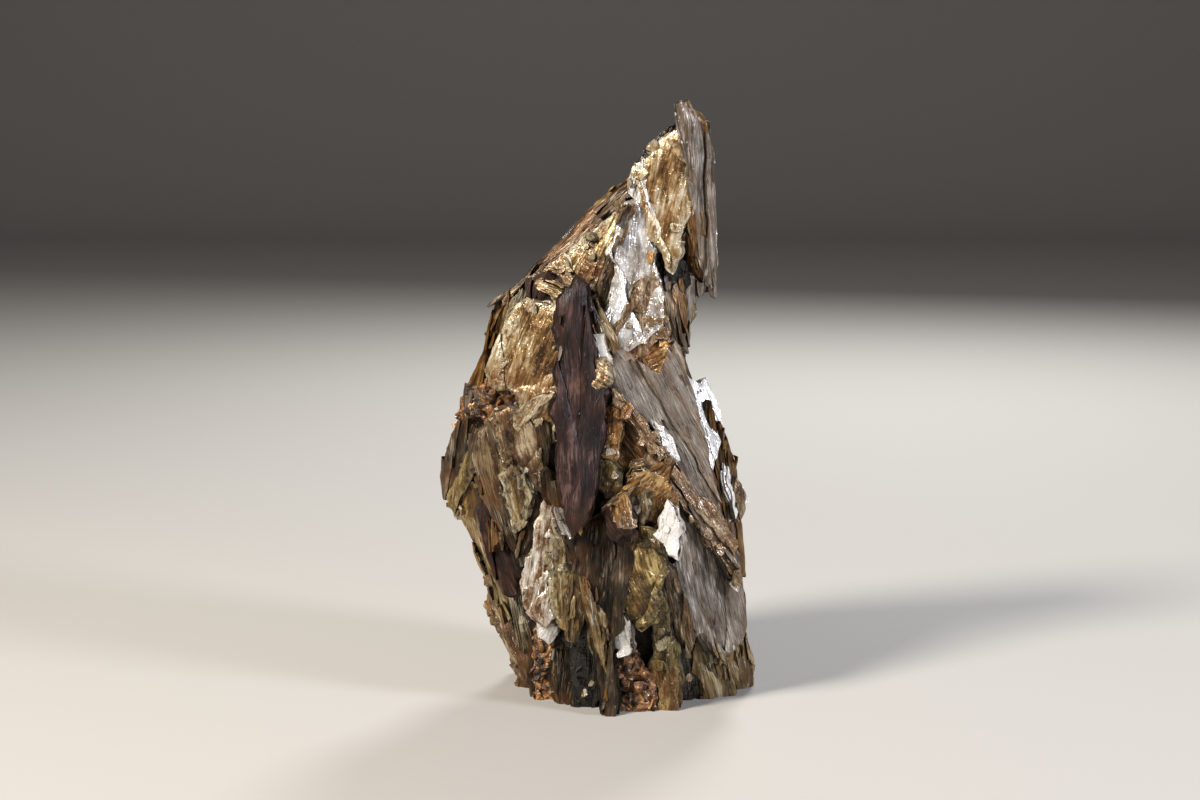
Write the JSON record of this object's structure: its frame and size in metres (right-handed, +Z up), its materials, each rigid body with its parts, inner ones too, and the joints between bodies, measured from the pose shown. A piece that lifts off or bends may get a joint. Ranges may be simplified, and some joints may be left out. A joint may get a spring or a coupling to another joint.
{
  "type": "mica crystal specimen",
  "caption": "Natural mica specimen: books of thin silvery, golden and brown sheets grown together into one tall pointed piece that stands on a flat cut base.",
  "frame": {"origin": "on the flat base, under the middle of the specimen's box", "axes": "+Z up along the specimen's height to its tip, +X to the right seen from the front, where the silver plates, the purple blade and the grey striated sheet show, -Y to the front"},
  "size_m": [0.0804, 0.0654, 0.1473],
  "materials": {
    "mica_books": "Stacks of mica sheets: pearly silver and pale gold cleavage faces with a partly metallic lustre, purple-brown and grey striated sheet edges, rust-stained rims and dark glossy hollows"
  },
  "bodies": {
    "root": {"mica_crystal": "mica_books"}
  },
  "joints": []
}
